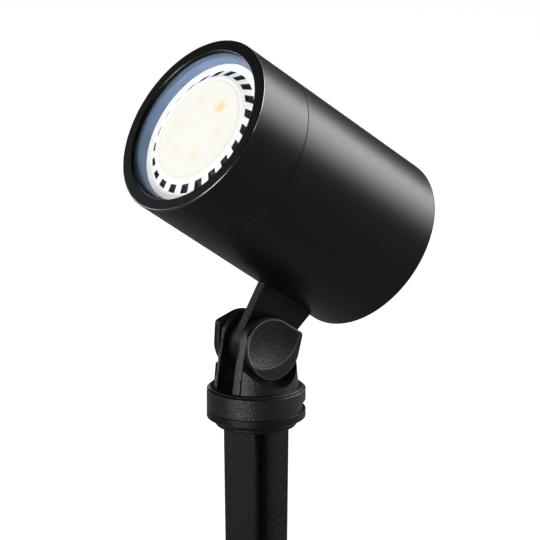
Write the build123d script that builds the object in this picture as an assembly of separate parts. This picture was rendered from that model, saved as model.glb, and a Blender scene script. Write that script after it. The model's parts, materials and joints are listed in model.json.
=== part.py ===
from build123d import *
import os
from math import cos, radians, sin

# Garden spotlight on a ground spike: a round lamp head that tilts in a clamped fork,
# a fork that swivels on the spike, and a front ring that unscrews to change the lamp.
# Origin on the spike's axis at the underside of its shoulder ring, +Z up, millimetres.
# The head points towards -Y and the tilt axis runs along X.
# Pieces of the head are drawn on its own axis: front face at z = 0, the rest behind it.

# Clearances
CLEARANCE = 0.3
RUNNING = 0.08

# Head and how it stands in the fork
HEAD_R = 31.0
HEAD_LENGTH = 86.8
HEAD_TILT = 34.5
BARREL_DROP = 18.3
REAR_REACH = 21.9

# Front ring, lens and seals
BEZEL_LENGTH = 21.8
BEZEL_WALL = 2.3
LIP_DEPTH = 1.3
LIP_FRONT_R = 27.1
LIP_BACK_R = 26.5
FRONT_ROUND = 0.5
SEAM_ROUND = 0.2
GLASS_THICK = 2.0
GASKET_WALL = 3.1
GASKET_DEPTH = 4.4
GASKET_ROUND = 1.2
RING_SECTION_R = 0.6
RING_SETBACK = 2.4
RING_GROOVE = 1.7

# Rear housing
HOUSING_WALL = 2.4
REAR_WALL = 3.5
REAR_ROUND = 1.0
NECK_WALL = 2.2
NECK_ROOT = 2.4

# Lamp
LAMP_SETBACK = 2.5
RIM_WIDTH = 2.4
RIM_DEPTH = 2.9
VENT_BAND = 4.0
VENT_RECESS = 0.3
VENT_RISE = 2.3
VENT_COUNT = 22
VENT_ANGLE = 8.6
VENT_SWIRL = 4.2
VENT_INSET = 1.1
VENT_MARGIN = 0.3
VENT_PHASE = 12.5
DIFFUSER_WALL = 1.4
DIFFUSER_RISE = 2.1
DIFFUSER_EDGE = 0.6
OPTIC_GAP = 0.15
BOARD_THICK = 1.6
BOARD_MARGIN = 0.5
CHIP_SIZE = 3.5
CHIP_HEIGHT = 0.8
CHIP_CIRCLE_R = 10.5
CHIP_RING_COUNT = 6
SINK_WALL = 1.8
SINK_LIP = 2.6
SINK_LENGTH = 27.0
SINK_TAIL_R = 12.5
SINK_EDGE = 2.5
BASE_FLANGE = 4.0
BASE_LENGTH = 11.0
BASE_WIDTH = 15.0
BASE_DEPTH = 9.0
DRIVER_WIDTH = 13.0
DRIVER_LENGTH = 15.0
DRIVER_THICK = 1.2
PIN_R = 0.75
PIN_SPACING = 5.3
PIN_LENGTH = 7.0

# Lamp holder and wiring
HOLDER_WIDTH = 20.0
HOLDER_DEPTH = 9.5
HOLDER_LENGTH = 10.5
CONTACT_R = 1.6
CONTACT_LENGTH = 7.5
STRAP_LENGTH = 44.0
STRAP_WIDTH = 12.0
STRAP_THICK = 1.2
STRAP_SCREW_X = 18.0
POST_R = 3.4
M3_R = 1.45
M3_HOLE_R = 1.6
M3_HEAD_R = 2.7
M3_HEAD_H = 1.8
M3_LENGTH = 8.0
LEAD_R = 0.9
TERMINAL_WIDTH = 18.0
TERMINAL_DEPTH = 9.0
TERMINAL_LENGTH = 9.0
TERMINAL_OFFSET = 16.0

# Cable gland in the rear wall
GLAND_THREAD_R = 5.9
GLAND_FLANGE_R = 8.6
GLAND_FLANGE_H = 3.2
GLAND_TAIL = 4.6
GLAND_BORE_R = 3.8
CABLE_R = 3.3
SEAL_R = 4.8
SEAL_LENGTH = 5.5
GLAND_NUT_R = 7.8
GLAND_NUT_CAP = 2.4
LOCKNUT_R = 8.4
LOCKNUT_H = 3.5

# Bracket under the head
PLATE_THICK = 3.9
EYE_R = 8.8
EYE_THICK = 7.6
FOOT_FRONT = 9.9
FOOT_REAR = 13.6
FOOT_WIDTH = 5.0
FOOT_HEIGHT = 1.5
FOOT_INSET = 2.0
PLATE_ROUND = 0.35
FOOT_SCREW_SPACING = 14.0
FOOT_SCREW_FRONT = 5.0

# Fork
PIVOT_HEIGHT = 27.7
SLOT_WIDTH = 8.8
EAR_THICK = 2.7
EAR_R = 10.7
EAR_FOOT_R = 14.1
EAR_TOP_R = 10.5
EAR_ROUND = 0.35
CHEEK_FOOT_R = 14.2
CHEEK_TOP_R = 13.5
CHEEK_GAP = 0.6
CHEEK_GAP_DEPTH = 1.0
POCKET_R = 12.4
CHEEK_TOP_DROP = 6.3
COLLAR_R = 16.6
COLLAR_BOTTOM = 5.6
COLLAR_TOP = 13.45
COLLAR_STEP = 0.9
COLLAR_ROUND = 0.3
COLLAR_SEAM_ROUND = 0.12
COLLAR_FLOOR = 3.0
NOTCH_DEPTH = 1.1
NOTCH_HEIGHT = 3.2
NOTCH_MIDDLE = 53.0
NOTCH_SPAN = 86.0
TILT_WASHER_R = 6.2
TILT_WASHER_THICK = 0.3

# Clamp through the fork
BOLT_R = 2.5
BOLT_BITE = 0.6
KNOB_R = 10.2
LUG_R = 1.5
LUG_REACH = 12.0
SCOOP_R = 31.0
SCOOP_SHIFT = 7.6
NEAR_HEIGHT = 3.4
NEAR_FLOOR = 0.5
NEAR_TURN = -19.0
FAR_HEIGHT = 2.7
FAR_FLOOR = 2.0
FAR_TURN = 38.0
FAR_GROOVE_LOW = 1.7
FAR_GROOVE_WIDTH = 0.45
FAR_GROOVE_DEPTH = 0.5
NUT_R = 4.6
NUT_H = 1.4

# Spike
SHOULDER_R = 13.75
SHOULDER_HEIGHT = 1.3
SHOULDER_ROUND = 0.8
SPIKE_COLLAR_R = 16.6
SPIKE_COLLAR_EDGE = 2.9
SPIKE_COLLAR_ROUND = 0.4
SPIGOT_R = 9.0
SPIGOT_HEIGHT = 4.7
FIN_HALF = 10.9
FIN_LOW_HALF = 9.7
FIN_THICK = 2.35
FIN_ANGLE = 46.0
FIN_ROUND = 0.3
SPIKE_LENGTH = 150.0
POINT_LENGTH = 35.0
POINT_HALF = 0.7
SWIVEL_SCREW_R = 2.0
SWIVEL_HEAD_R = 3.4
SWIVEL_HEAD_H = 2.2
SWIVEL_BITE = 4.2
SWIVEL_WASHER_R = 4.0
SWIVEL_WASHER_THICK = 0.6

# Stations along the head, measured back from its front face
FRONT_REACH = HEAD_LENGTH - REAR_REACH
HEAD_OFFSET = HEAD_R + BARREL_DROP
SKIRT_R = HEAD_R - BEZEL_WALL
NECK_R = SKIRT_R - CLEARANCE
NECK_INNER_R = NECK_R - NECK_WALL
HOUSING_INNER_R = HEAD_R - HOUSING_WALL
BEZEL_BACK = BEZEL_LENGTH - CLEARANCE / 2
HOUSING_FRONT = BEZEL_LENGTH + CLEARANCE / 2
REAR_INSIDE = HEAD_LENGTH - REAR_WALL
GLASS_FRONT = LIP_DEPTH + CLEARANCE
GLASS_BACK = GLASS_FRONT + GLASS_THICK
GASKET_BACK = GLASS_BACK + GASKET_DEPTH
GASKET_INNER_R = NECK_R - GASKET_WALL
LAMP_R = GASKET_INNER_R - CLEARANCE
NECK_FRONT = GASKET_BACK + CLEARANCE
RING_STATION = HOUSING_FRONT - RING_SETBACK
RING_R = NECK_R - RING_SECTION_R
LAMP_FRONT = GLASS_BACK + LAMP_SETBACK
RIM_INNER_R = LAMP_R - RIM_WIDTH
VENT_FACE = LAMP_FRONT + VENT_RECESS
VENT_TOP = VENT_FACE - VENT_RISE
RIM_BACK = LAMP_FRONT + RIM_DEPTH
DIFFUSER_R = RIM_INNER_R - VENT_BAND
OPTIC_HOLE_R = DIFFUSER_R + OPTIC_GAP
DIFFUSER_FRONT = LAMP_FRONT - DIFFUSER_RISE
SINK_INNER_R = LAMP_R - SINK_LIP
BOARD_BACK = RIM_BACK + SINK_WALL + BOARD_THICK
BOARD_FRONT = BOARD_BACK - BOARD_THICK
SINK_BACK = RIM_BACK + SINK_LENGTH
BASE_BACK = SINK_BACK + BASE_LENGTH
HOLDER_FRONT = BASE_BACK + CLEARANCE
HOLDER_BACK = HOLDER_FRONT + HOLDER_LENGTH
STRAP_BACK = HOLDER_BACK + STRAP_THICK
TERMINAL_FRONT = REAR_INSIDE - TERMINAL_LENGTH
GLAND_BACK = HEAD_LENGTH + GLAND_FLANGE_H
GLAND_TAIL_BACK = GLAND_BACK + GLAND_TAIL
LEAD_BEND_R = (TERMINAL_FRONT - STRAP_BACK) / 4

# Places and directions of the tilted head
TILT = radians(HEAD_TILT)
FORWARD = Vector(0, -cos(TILT), sin(TILT))
AWAY = Vector(0, sin(TILT), cos(TILT))
PIVOT = Vector(0, 0, PIVOT_HEIGHT)
HEAD = Plane(origin=PIVOT + AWAY * HEAD_OFFSET + FORWARD * FRONT_REACH, x_dir=(1, 0, 0), z_dir=FORWARD)
EYE = Pos(0, -HEAD_OFFSET, -FRONT_REACH)
EAR_INNER_X = SLOT_WIDTH / 2
EAR_OUTER_X = EAR_INNER_X + EAR_THICK
KNOB_SEAT_X = EAR_OUTER_X + CLEARANCE


def turned(*outline):
    """A closed (radius, height) outline turned about Z."""
    return revolve(Plane.XZ * make_face(Polyline(*outline, close=True)), Axis.Z)


def rod(radius, low, high):
    """A cylinder on Z between two heights."""
    return Pos(0, 0, low) * Cylinder(radius, high - low, align=(Align.CENTER, Align.CENTER, Align.MIN))


def tube(outer_r, inner_r, low, high):
    """A plain ring on Z between two heights."""
    return rod(outer_r, low, high) - rod(inner_r, low, high)


def block(width, depth, low, high):
    """A box centred on Z between two heights."""
    return Pos(0, 0, low) * Box(width, depth, high - low, align=(Align.CENTER, Align.CENTER, Align.MIN))


def hexagon(radius, low, high):
    """A six-sided bar on Z between two heights, measured to its corners."""
    return Pos(0, 0, low) * extrude(RegularPolygon(radius, 6), high - low)


def across(radius, low_x, high_x):
    """A cylinder along the tilt axis between two X values, drawn at the pivot."""
    return Pos(PIVOT) * Rot(0, 90, 0) * rod(radius, low_x, high_x)


def rounded(solid, radius, edge_r, height):
    """The circular edges of one radius at one height, rounded over."""
    picked = [e for e in solid.edges().filter_by(GeomType.CIRCLE)
              if abs(e.radius - edge_r) < 1e-3 and abs(e.center().Z - height) < 1e-3]
    return fillet(picked, radius)


def plate_edges(plate, axis, keep_square):
    """The outline edges of a flat plate's two faces, without those at the height that stays square."""
    faces = plate.faces().filter_by(axis)
    return [e for e in faces.edges() if abs(e.center().Z - keep_square) > 1e-3]


def front_bezel():
    """Front ring: a lip that holds the lens and a skirt that screws over the housing's neck."""
    ring = turned((LIP_FRONT_R, 0), (HEAD_R, 0), (HEAD_R, -BEZEL_BACK), (SKIRT_R, -BEZEL_BACK),
                  (SKIRT_R, -LIP_DEPTH), (LIP_BACK_R, -LIP_DEPTH))
    ring = rounded(ring, FRONT_ROUND, HEAD_R, 0)
    return rounded(ring, SEAM_ROUND, HEAD_R, -BEZEL_BACK)


def lens_gasket():
    """Soft ring behind the glass, round at its inner front corner, clear of the lamp's rim."""
    ring = tube(NECK_R, GASKET_INNER_R, -GASKET_BACK, -GLASS_BACK)
    return rounded(ring, GASKET_ROUND, GASKET_INNER_R, -GLASS_BACK)


def strap_places():
    """The two screws of the lamp holder's strap, one each side of the axis."""
    return [Pos(side * STRAP_SCREW_X, 0, 0) for side in (-1, 1)]


def foot_places():
    """The two radial screws of the bracket's foot, drawn outwards from the head's axis."""
    first = FRONT_REACH - FOOT_SCREW_FRONT
    return [Pos(0, 0, -first - step * FOOT_SCREW_SPACING) * Rot(90, 0, 0) for step in (0, 1)]


def rear_housing():
    """Cup with a neck for the front ring, a seal groove, two posts and holes for gland and screws."""
    cup = turned((HEAD_R, -HOUSING_FRONT), (HEAD_R, -HEAD_LENGTH), (0, -HEAD_LENGTH), (0, -REAR_INSIDE),
                 (HOUSING_INNER_R, -REAR_INSIDE), (HOUSING_INNER_R, -HOUSING_FRONT - NECK_ROOT),
                 (NECK_INNER_R, -HOUSING_FRONT - NECK_ROOT), (NECK_INNER_R, -NECK_FRONT),
                 (NECK_R, -NECK_FRONT), (NECK_R, -HOUSING_FRONT))
    cup = rounded(cup, REAR_ROUND, HEAD_R, -HEAD_LENGTH)
    cup = rounded(cup, SEAM_ROUND, HEAD_R, -HOUSING_FRONT)
    cup -= tube(NECK_R + CLEARANCE, NECK_R - 2 * RING_SECTION_R,
                -RING_STATION - RING_GROOVE / 2, -RING_STATION + RING_GROOVE / 2)
    for place in strap_places():
        cup += place * rod(POST_R, -REAR_INSIDE, -STRAP_BACK)
        cup -= place * rod(M3_R, -STRAP_BACK - M3_LENGTH, -STRAP_BACK)
    for place in foot_places():
        cup -= place * rod(M3_HOLE_R, NECK_INNER_R, HEAD_R)
    return cup - rod(GLAND_THREAD_R, -HEAD_LENGTH, -REAR_INSIDE)


def head_bracket():
    """Flat tongue under the barrel: a round eye at the pivot, flaring to a saddle foot."""
    top = BARREL_DROP + HOUSING_WALL
    outline = make_face(Polyline((EYE_R, 0), (FOOT_FRONT, BARREL_DROP), (FOOT_FRONT, top),
                                 (-FOOT_REAR, top), (-FOOT_REAR, BARREL_DROP), (-EYE_R, 0), close=True))
    outline += Circle(EYE_R)
    sideways = Plane(origin=(0, 0, 0), x_dir=(0, 0, 1), z_dir=(-1, 0, 0))
    plate = extrude(sideways * outline, PLATE_THICK / 2, both=True)
    plate = fillet(plate.faces().filter_by(Axis.X).edges(), PLATE_ROUND)
    eye = Rot(0, 90, 0) * Cylinder(EYE_R, EYE_THICK)
    plate += fillet(eye.edges().filter_by(GeomType.CIRCLE), PLATE_ROUND)
    foot = Pos(0, BARREL_DROP - FOOT_HEIGHT, FOOT_INSET - FOOT_REAR) * Box(
        FOOT_WIDTH, HOUSING_WALL + FOOT_HEIGHT, FOOT_FRONT + FOOT_REAR - 2 * FOOT_INSET,
        align=(Align.CENTER, Align.MIN, Align.MIN))
    tongue = EYE * (plate + foot - Rot(0, 90, 0) * Cylinder(BOLT_R + CLEARANCE, EYE_THICK))
    tongue -= rod(HEAD_R, -2 * HEAD_LENGTH, HEAD_LENGTH)
    for place in foot_places():
        tongue -= place * rod(M3_R, HOUSING_INNER_R, HEAD_R + M3_LENGTH)
    return tongue


def bracket_screws():
    """Two screws from inside the barrel, through its wall into the tongue."""
    seat = HOUSING_INNER_R - CLEARANCE
    screw = rod(M3_HEAD_R, seat - M3_HEAD_H, seat) + rod(M3_R, seat, HEAD_R + M3_LENGTH - CLEARANCE)
    return [place * screw for place in foot_places()]


def vent_slot():
    """One slot through the lamp's rim, its outer end trailing its inner end by the swirl angle."""
    half = VENT_ANGLE / 2
    inner = Vector(OPTIC_HOLE_R + VENT_INSET, 0)
    outer = Vector(RIM_INNER_R - VENT_MARGIN, 0)
    corners = [inner.rotate(Axis.Z, half), inner.rotate(Axis.Z, -half),
               outer.rotate(Axis.Z, -half - VENT_SWIRL), outer.rotate(Axis.Z, half - VENT_SWIRL)]
    floor = Pos(0, 0, -RIM_BACK) * make_face(Polyline(*corners, close=True))
    return extrude(floor, RIM_BACK - VENT_TOP, dir=(0, 0, 1))


def lamp_front_ring():
    """White rim of the lamp round a sloping band of vent slots that rises to the diffuser."""
    ring = turned((OPTIC_HOLE_R, -VENT_TOP), (RIM_INNER_R, -VENT_FACE), (RIM_INNER_R, -LAMP_FRONT),
                  (LAMP_R, -LAMP_FRONT), (LAMP_R, -RIM_BACK), (OPTIC_HOLE_R, -RIM_BACK))
    slot = vent_slot()
    for index in range(VENT_COUNT):
        ring -= Rot(0, 0, VENT_PHASE + 360 * index / VENT_COUNT) * slot
    return ring


def lamp_diffuser():
    """Frosted cap over the light chips, standing proud of the vent slots."""
    return turned((0, -DIFFUSER_FRONT), (DIFFUSER_R - DIFFUSER_EDGE, -DIFFUSER_FRONT),
                  (DIFFUSER_R, -DIFFUSER_FRONT - DIFFUSER_EDGE), (DIFFUSER_R, -BOARD_FRONT),
                  (DIFFUSER_R - DIFFUSER_WALL, -BOARD_FRONT),
                  (DIFFUSER_R - DIFFUSER_WALL, -DIFFUSER_FRONT - DIFFUSER_WALL),
                  (0, -DIFFUSER_FRONT - DIFFUSER_WALL))


def led_chips():
    """One chip in the middle and a ring of chips round it."""
    chip = block(CHIP_SIZE, CHIP_SIZE, -BOARD_FRONT, -BOARD_FRONT + CHIP_HEIGHT)
    ring = [Rot(0, 0, 360 * i / CHIP_RING_COUNT) * Pos(CHIP_CIRCLE_R, 0, 0) * chip
            for i in range(CHIP_RING_COUNT)]
    return [chip, *ring]


def lamp_heatsink():
    """Conical shell with a plate that carries the light board."""
    return turned((0, -BOARD_BACK), (SINK_INNER_R, -BOARD_BACK), (SINK_INNER_R, -RIM_BACK),
                  (LAMP_R, -RIM_BACK), (LAMP_R, -RIM_BACK - SINK_EDGE), (SINK_TAIL_R, -SINK_BACK),
                  (SINK_TAIL_R - SINK_WALL, -SINK_BACK), (SINK_INNER_R, -BOARD_BACK - SINK_WALL),
                  (0, -BOARD_BACK - SINK_WALL))


def lamp_base():
    """Plastic tail of the lamp: a round flange and a flat block that carries the pins."""
    flange = rod(SINK_TAIL_R, -SINK_BACK - BASE_FLANGE, -SINK_BACK)
    return flange + block(BASE_WIDTH, BASE_DEPTH, -BASE_BACK, -SINK_BACK - BASE_FLANGE)


def pin_places():
    """The lamp's two pins, side by side."""
    return [Pos(side * PIN_SPACING / 2, 0, 0) for side in (-1, 1)]


def lamp_holder():
    """Ceramic block with two holes for the pin contacts and the leads behind them."""
    holder = block(HOLDER_WIDTH, HOLDER_DEPTH, -HOLDER_BACK, -HOLDER_FRONT)
    for place in pin_places():
        holder -= place * rod(CONTACT_R, -HOLDER_FRONT - CONTACT_LENGTH, -HOLDER_FRONT)
        holder -= place * rod(LEAD_R, -HOLDER_BACK, -HOLDER_FRONT - CONTACT_LENGTH)
    return holder


def holder_strap():
    """Steel strip across the barrel, with a window for the leads."""
    strap = block(STRAP_LENGTH, STRAP_WIDTH, -STRAP_BACK, -HOLDER_BACK)
    strap -= block(PIN_SPACING + 4 * LEAD_R, 4 * LEAD_R, -STRAP_BACK, -HOLDER_BACK)
    for place in strap_places():
        strap -= place * rod(M3_HOLE_R, -STRAP_BACK, -HOLDER_BACK)
    return strap


def lead_wires():
    """Two insulated leads from the holder's contacts to the terminal block."""
    start = HOLDER_FRONT + CONTACT_LENGTH
    middle = (STRAP_BACK + TERMINAL_FRONT) / 2
    route = FilletPolyline((0, 0, -start), (0, 0, -middle), (0, TERMINAL_OFFSET, -middle),
                           (0, TERMINAL_OFFSET, -TERMINAL_FRONT), radius=LEAD_BEND_R)
    lead = sweep(Plane(origin=route @ 0, z_dir=route % 0) * Circle(LEAD_R), path=route)
    return [place * lead for place in pin_places()]


def gland_body():
    """Threaded gland through the rear wall with a six-sided flange and a seal pocket."""
    body = rod(GLAND_THREAD_R, -HEAD_LENGTH, -REAR_INSIDE + LOCKNUT_H + CLEARANCE)
    body += hexagon(GLAND_FLANGE_R, -GLAND_BACK, -HEAD_LENGTH)
    body += rod(GLAND_THREAD_R, -GLAND_TAIL_BACK, -GLAND_BACK)
    body -= rod(GLAND_BORE_R, -GLAND_TAIL_BACK, -REAR_INSIDE + LOCKNUT_H + CLEARANCE)
    return body - rod(SEAL_R, -GLAND_TAIL_BACK, -GLAND_TAIL_BACK + SEAL_LENGTH)


def gland_nut():
    """Dome nut that squeezes the seal onto a cable."""
    low = -GLAND_TAIL_BACK - GLAND_NUT_CAP
    return turned((GLAND_BORE_R, low), (GLAND_THREAD_R, low), (GLAND_NUT_R, low + GLAND_NUT_CAP),
                  (GLAND_NUT_R, -GLAND_BACK), (GLAND_THREAD_R, -GLAND_BACK),
                  (GLAND_THREAD_R, -GLAND_TAIL_BACK), (GLAND_BORE_R, -GLAND_TAIL_BACK))


def collar_sector(inner_r, outer_r, low, high):
    """A stretch of a ring centred on the notch's angle."""
    half = radians(NOTCH_SPAN / 2)
    reach = 2 * outer_r
    wedge = make_face(Polyline((0, 0), (reach * cos(half), -reach * sin(half)),
                               (reach * cos(half), reach * sin(half)), close=True))
    sector = tube(outer_r, inner_r, low, high) & Pos(0, 0, low) * extrude(wedge, high - low)
    return Rot(0, 0, NOTCH_MIDDLE) * sector


def cheek(shrink, start_x):
    """Lower outside of an ear: a cone about the swivel axis beyond one X, hollowed for the knob."""
    top = PIVOT_HEIGHT - CHEEK_TOP_DROP
    cone = turned((0, COLLAR_TOP), (CHEEK_FOOT_R - shrink, COLLAR_TOP),
                  (CHEEK_TOP_R - shrink, top), (0, top))
    outside = Pos(start_x, 0, 0) * Box(
        CHEEK_FOOT_R, 2 * CHEEK_FOOT_R, 2 * PIVOT_HEIGHT, align=(Align.MIN, Align.CENTER, Align.MIN))
    return (cone & outside) - across(POCKET_R, EAR_OUTER_X, COLLAR_R)


def fork_ear():
    """The ear at +X: a plate with a round top and crowned edges, and its cheek beyond a groove."""
    drop = PIVOT_HEIGHT - COLLAR_TOP
    outline = make_face(Polyline((EAR_R, 0), (EAR_FOOT_R, -drop), (-EAR_FOOT_R, -drop),
                                 (-EAR_R, 0), close=True)) + Circle(EAR_R)
    upright = Plane(origin=PIVOT + Vector(EAR_INNER_X, 0, 0), x_dir=(0, 1, 0), z_dir=(1, 0, 0))
    top = PIVOT_HEIGHT + EAR_R
    crown = turned((0, COLLAR_TOP), (EAR_FOOT_R, COLLAR_TOP), (EAR_TOP_R, top), (0, top))
    ear = extrude(upright * outline, EAR_THICK) & crown
    ear = fillet(plate_edges(ear, Axis.X, COLLAR_TOP), EAR_ROUND)
    return ear + cheek(CHEEK_GAP_DEPTH, EAR_OUTER_X) + cheek(0, EAR_OUTER_X + CHEEK_GAP)


def fork_bracket():
    """Swivel collar with a hollow under it for the spike's spigot, and two ears for the tilt joint."""
    step = COLLAR_TOP - COLLAR_STEP
    collar = turned((0, COLLAR_BOTTOM), (COLLAR_R, COLLAR_BOTTOM), (COLLAR_R, step),
                    (COLLAR_R - COLLAR_STEP, step + COLLAR_STEP / 2),
                    (COLLAR_R - COLLAR_STEP, COLLAR_TOP), (0, COLLAR_TOP))
    collar = rounded(collar, COLLAR_SEAM_ROUND, COLLAR_R, COLLAR_BOTTOM)
    for edge_r, height in ((COLLAR_R, step), (COLLAR_R - COLLAR_STEP, COLLAR_TOP)):
        collar = rounded(collar, COLLAR_ROUND, edge_r, height)
    ear = fork_ear()
    fork = collar + ear + mirror(ear, Plane.YZ)
    fork -= rod(SPIGOT_R + RUNNING, COLLAR_BOTTOM, COLLAR_TOP - COLLAR_FLOOR)
    fork -= rod(SWIVEL_SCREW_R + RUNNING, COLLAR_BOTTOM, COLLAR_TOP)
    fork -= collar_sector(COLLAR_R - NOTCH_DEPTH, COLLAR_R + NOTCH_DEPTH,
                          COLLAR_BOTTOM, COLLAR_BOTTOM + NOTCH_HEIGHT)
    return fork - across(BOLT_R + RUNNING, -COLLAR_R, COLLAR_R)


def tilt_washers():
    """Friction discs on the inner faces of the ears."""
    disc = (across(TILT_WASHER_R, EAR_INNER_X - TILT_WASHER_THICK, EAR_INNER_X)
            - across(BOLT_R + CLEARANCE, EAR_INNER_X - TILT_WASHER_THICK, EAR_INNER_X))
    return [disc, mirror(disc, Plane.YZ)]


def knob_place(outward, turn):
    """Plane on an ear's outside, its Z outwards and its Y leaning back from upright by turn degrees."""
    lean = radians(turn)
    return Plane(origin=PIVOT + Vector(outward * KNOB_SEAT_X, 0, 0),
                 x_dir=(0, outward * cos(lean), -outward * sin(lean)), z_dir=(outward, 0, 0))


def knob_outline(inset=0):
    """A circle drawn out to a small round lug on one side, all of it smaller by the inset."""
    lug = Pos(LUG_REACH - LUG_R, 0) * Circle(LUG_R - inset)
    return make_hull(Circle(KNOB_R - inset).edges() + lug.edges())


def thumb_knob(height, floor):
    """Lugged knob whose top is scooped out by a ball off its axis, down to a floor above its seat."""
    scoop = Pos(0, SCOOP_SHIFT, floor + SCOOP_R) * Sphere(SCOOP_R)
    return extrude(knob_outline(), height) - scoop


def far_groove():
    """The line round the far knob's side."""
    band = knob_outline() - knob_outline(FAR_GROOVE_DEPTH)
    return Pos(0, 0, FAR_GROOVE_LOW) * extrude(band, FAR_GROOVE_WIDTH)


def pivot_bolt():
    """Clamp stud set in the near knob, through both ears and the tongue's eye, into the far nut."""
    return across(BOLT_R, -KNOB_SEAT_X - NUT_H, KNOB_SEAT_X + BOLT_BITE)


def ground_spike():
    """Shoulder ring, collar and spigot over a four-finned stake that runs to a point."""
    collar_top = COLLAR_BOTTOM - RUNNING
    head = turned((0, 0), (SHOULDER_R, 0), (SHOULDER_R, SHOULDER_HEIGHT),
                  (SPIKE_COLLAR_R, SPIKE_COLLAR_EDGE), (SPIKE_COLLAR_R, collar_top),
                  (SPIGOT_R, collar_top), (SPIGOT_R, collar_top + SPIGOT_HEIGHT),
                  (0, collar_top + SPIGOT_HEIGHT))
    head = rounded(head, SHOULDER_ROUND, SHOULDER_R, 0)
    head = rounded(head, SPIKE_COLLAR_ROUND, SPIKE_COLLAR_R, SPIKE_COLLAR_EDGE)
    head = rounded(head, COLLAR_SEAM_ROUND, SPIKE_COLLAR_R, collar_top)
    shoulder_of_point = POINT_LENGTH - SPIKE_LENGTH
    fin = make_face(Polyline((FIN_HALF, 0), (FIN_LOW_HALF, shoulder_of_point), (POINT_HALF, -SPIKE_LENGTH),
                             (-POINT_HALF, -SPIKE_LENGTH), (-FIN_LOW_HALF, shoulder_of_point),
                             (-FIN_HALF, 0), close=True))
    blade = extrude(Plane.XZ * fin, FIN_THICK / 2, both=True)
    blade = fillet(plate_edges(blade, Axis.Y, 0), FIN_ROUND)
    for turn in (FIN_ANGLE, FIN_ANGLE + 90):
        head += Rot(0, 0, turn) * blade
    return head - rod(SWIVEL_SCREW_R, collar_top - SWIVEL_BITE, collar_top + SPIGOT_HEIGHT)


def swivel_screw():
    """Screw that holds the fork down on the spike and lets it turn."""
    seat = COLLAR_TOP + CLEARANCE + SWIVEL_WASHER_THICK
    return (rod(SWIVEL_SCREW_R, COLLAR_BOTTOM - RUNNING - SWIVEL_BITE, seat)
            + rod(SWIVEL_HEAD_R, seat, seat + SWIVEL_HEAD_H))


def swivel_washer():
    """Washer under the swivel screw's head."""
    low = COLLAR_TOP + CLEARANCE
    return tube(SWIVEL_WASHER_R, SWIVEL_SCREW_R, low, low + SWIVEL_WASHER_THICK)


near_place = knob_place(1, NEAR_TURN)
far_place = knob_place(-1, FAR_TURN)
near_knob = thumb_knob(NEAR_HEIGHT, NEAR_FLOOR)
far_knob = thumb_knob(FAR_HEIGHT, FAR_FLOOR) - far_groove()
nut_bore = rod(BOLT_R + CLEARANCE, 0, NUT_H)
nut = hexagon(NUT_R, 0, NUT_H)
strap_screw = (rod(M3_HEAD_R, -HOLDER_BACK, -HOLDER_BACK + M3_HEAD_H)
               + rod(M3_R, -STRAP_BACK - M3_LENGTH, -HOLDER_BACK))
driver = Pos(0, 0, -SINK_BACK) * Box(
    DRIVER_WIDTH, DRIVER_THICK, DRIVER_LENGTH, align=(Align.CENTER, Align.CENTER, Align.MIN))
lamp_pin = rod(PIN_R, -BASE_BACK - PIN_LENGTH, -BASE_BACK)
contact = tube(CONTACT_R, PIN_R, -HOLDER_FRONT - CONTACT_LENGTH, -HOLDER_FRONT)
terminal = Pos(0, TERMINAL_OFFSET, 0) * block(TERMINAL_WIDTH, TERMINAL_DEPTH, -REAR_INSIDE, -TERMINAL_FRONT)
seal_low = -GLAND_TAIL_BACK

on_head = {
    "front_bezel": [front_bezel()],
    "lens_glass": [rod(NECK_R, -GLASS_BACK, -GLASS_FRONT)],
    "lens_gasket": [lens_gasket()],
    "seal_ring": [Pos(0, 0, -RING_STATION) * Torus(RING_R, RING_SECTION_R)],
    "rear_housing": [rear_housing()],
    "head_bracket": [head_bracket()],
    "bracket_screws": bracket_screws(),
    "lamp_front_ring": [lamp_front_ring()],
    "lamp_diffuser": [lamp_diffuser()],
    "led_board": [rod(SINK_INNER_R - BOARD_MARGIN, -BOARD_BACK, -BOARD_FRONT)],
    "led_chips": led_chips(),
    "lamp_heatsink": [lamp_heatsink()],
    "lamp_driver": [driver],
    "lamp_base": [lamp_base()],
    "lamp_pins": [place * lamp_pin for place in pin_places()],
    "lamp_holder": [lamp_holder()],
    "holder_contacts": [place * contact for place in pin_places()],
    "holder_strap": [holder_strap()],
    "strap_screws": [place * strap_screw for place in strap_places()],
    "lead_wires": lead_wires(),
    "terminal_block": [terminal],
    "gland_body": [gland_body()],
    "gland_seal": [tube(SEAL_R, CABLE_R, seal_low, seal_low + SEAL_LENGTH)],
    "gland_nut": [gland_nut()],
    "gland_locknut": [hexagon(LOCKNUT_R, -REAR_INSIDE, -REAR_INSIDE + LOCKNUT_H)
                      - rod(GLAND_THREAD_R, -REAR_INSIDE, -REAR_INSIDE + LOCKNUT_H)],
}
in_place = {
    "ground_spike": [ground_spike()],
    "swivel_screw": [swivel_screw()],
    "swivel_washer": [swivel_washer()],
    "fork_bracket": [fork_bracket()],
    "tilt_washers": tilt_washers(),
    "clamp_knob": [near_place * (near_knob - rod(BOLT_R, 0, BOLT_BITE))],
    "pivot_bolt": [pivot_bolt()],
    "nut_knob": [far_place * (far_knob - nut)],
    "lock_nut": [far_place * (nut - nut_bore)],
}
in_place.update({name: [HEAD * piece for piece in pieces] for name, pieces in on_head.items()})

os.makedirs("parts", exist_ok=True)
for name, pieces in in_place.items():
    solids = [solid for piece in pieces for solid in piece.solids()]
    export_step(Compound(solids) if len(solids) > 1 else solids[0], f"parts/{name}.step")
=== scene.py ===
import json
from collections import namedtuple
from math import cos, pi, radians, sin

import bpy
import numpy as np
from mathutils import Matrix, Vector


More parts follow.
